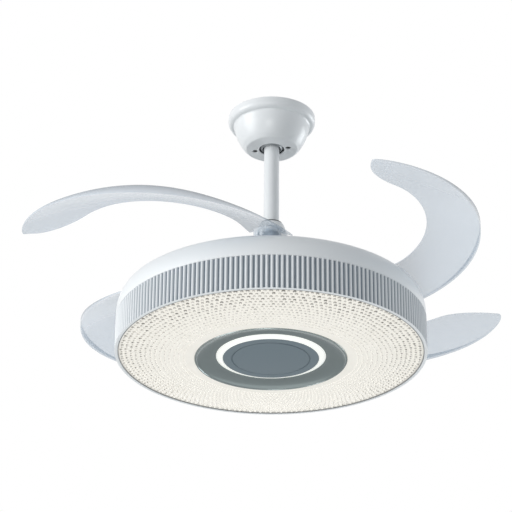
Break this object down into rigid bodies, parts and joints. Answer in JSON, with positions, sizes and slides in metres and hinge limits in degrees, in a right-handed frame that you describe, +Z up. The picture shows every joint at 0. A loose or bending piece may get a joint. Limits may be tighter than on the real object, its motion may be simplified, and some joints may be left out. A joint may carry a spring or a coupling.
{
  "type": "retractable blade ceiling fan",
  "caption": "Ceiling fan with a round fluted lamp drum on a short rod and clear sickle blades that fold in over the drum.",
  "frame": {"origin": "centre of the ceiling bracket's top face, on the fan's axis", "axes": "+Z up into the ceiling along the rod; +X to the right and -Y towards the viewer of the picture"},
  "size_m": [0.7812, 0.7812, 0.4495],
  "materials": {
    "white_enamel": "white satin enamel",
    "zinc_steel": "zinc plated steel",
    "cast_grey": "moulded grey nylon",
    "white_nylon": "moulded nylon",
    "white_shell": "white satin moulded shell",
    "alloy_shell": "light alloy sheet and castings",
    "fluted_side": "white satin shell with fine upright flutes",
    "dark_trim": "dark satin plastic",
    "white_board": "white coated board",
    "lens_crystal": "warm white diffuser with rings of crystal dots",
    "bezel_metal": "satin grey metal funnel",
    "halo_opal": "glowing opal diffuser",
    "disc_grey": "satin slate grey",
    "clear_blade": "clear moulded plastic",
    "copper_wire": "enamelled winding",
    "laminate": "dark iron"
  },
  "bodies": {
    "ceiling_mount": {"ceiling_bracket": "zinc_steel", "canopy": "white_enamel", "canopy_screw_1": "zinc_steel", "canopy_screw_2": "zinc_steel", "terminal_block": "white_nylon"},
    "hanger": {"hanger_ball": "cast_grey", "cross_pin": "zinc_steel"},
    "drop": {"downrod": "white_enamel", "rod_coupling": "zinc_steel", "coupling_pin": "zinc_steel", "bell_cover": "white_shell", "motor_shaft": "zinc_steel", "stator_core": "laminate", "stator_winding": "copper_wire", "lamp_flange": "zinc_steel", "shaft_lock_nut": "zinc_steel", "lamp_deck": "alloy_shell", "drum_shoulder": "white_shell", "fluted_band": "fluted_side", "rim_trim": "dark_trim", "led_tray": "white_board", "led_driver": "white_board", "lens": "lens_crystal", "bezel": "bezel_metal", "halo_ring": "halo_opal", "centre_disc": "disc_grey"},
    "rotor": {"blade_carrier": "alloy_shell", "motor_housing_lower": "alloy_shell", "motor_housing_upper": "alloy_shell", "magnet_ring": "laminate", "bearing_lower": "zinc_steel", "bearing_upper": "zinc_steel", "return_spring_1": "zinc_steel", "return_spring_2": "zinc_steel", "return_spring_3": "zinc_steel", "return_spring_4": "zinc_steel", "pivot_bolt_1": "zinc_steel", "pivot_bolt_2": "zinc_steel", "pivot_bolt_3": "zinc_steel", "pivot_bolt_4": "zinc_steel", "pivot_washer_1": "dark_trim", "pivot_washer_2": "dark_trim", "pivot_washer_3": "dark_trim", "pivot_washer_4": "dark_trim", "pivot_nut_1": "zinc_steel", "pivot_nut_2": "zinc_steel", "pivot_nut_3": "zinc_steel", "pivot_nut_4": "zinc_steel"},
    "sync_gear": {"sync_ring": "white_nylon"},
    "blade_unit_1": {"blade_1": "clear_blade", "blade_gear_1": "white_nylon"},
    "blade_unit_2": {"blade_2": "clear_blade", "blade_gear_2": "white_nylon"},
    "blade_unit_3": {"blade_3": "clear_blade", "blade_gear_3": "white_nylon"},
    "blade_unit_4": {"blade_4": "clear_blade", "blade_gear_4": "white_nylon"}
  },
  "joints": [
    {"name": "ball_tilt", "type": "hinge", "parent": "ceiling_mount", "child": "hanger", "pos_m": [0, 0, -0.043], "axis": [1, 0, 0], "range_deg": [-8, 8]},
    {"name": "rod_lean", "type": "hinge", "parent": "hanger", "child": "drop", "pos_m": [0, 0, -0.043], "axis": [0, 1, 0], "range_deg": [-8, 8]},
    {"name": "rotor_spin", "type": "hinge", "parent": "drop", "child": "rotor", "pos_m": [0, 0, -0.337], "axis": [0, 0, 1], "continuous": true},
    {"name": "blade_1_fold", "type": "hinge", "parent": "rotor", "child": "blade_unit_1", "pos_m": [0.2, 0, -0.337], "axis": [0, 0, 1], "range_deg": [-64, 0]},
    {"name": "blade_2_fold", "type": "hinge", "parent": "rotor", "child": "blade_unit_2", "pos_m": [0, -0.2, -0.337], "axis": [0, 0, 1], "range_deg": [-64, 0]},
    {"name": "blade_3_fold", "type": "hinge", "parent": "rotor", "child": "blade_unit_3", "pos_m": [-0.2, 0, -0.337], "axis": [0, 0, 1], "range_deg": [-64, 0]},
    {"name": "blade_4_fold", "type": "hinge", "parent": "rotor", "child": "blade_unit_4", "pos_m": [0, 0.2, -0.337], "axis": [0, 0, 1], "range_deg": [-64, 0]},
    {"name": "sync_turn", "type": "hinge", "parent": "rotor", "child": "sync_gear", "pos_m": [0, 0, -0.337], "axis": [0, 0, 1], "range_deg": [0, 8.8]}
  ],
  "couplings": [
    {"joint": "blade_2_fold", "follows": "blade_1_fold", "ratio": 1},
    {"joint": "blade_3_fold", "follows": "blade_1_fold", "ratio": 1},
    {"joint": "blade_4_fold", "follows": "blade_1_fold", "ratio": 1},
    {"joint": "sync_turn", "follows": "blade_1_fold", "ratio": -0.13636}
  ]
}
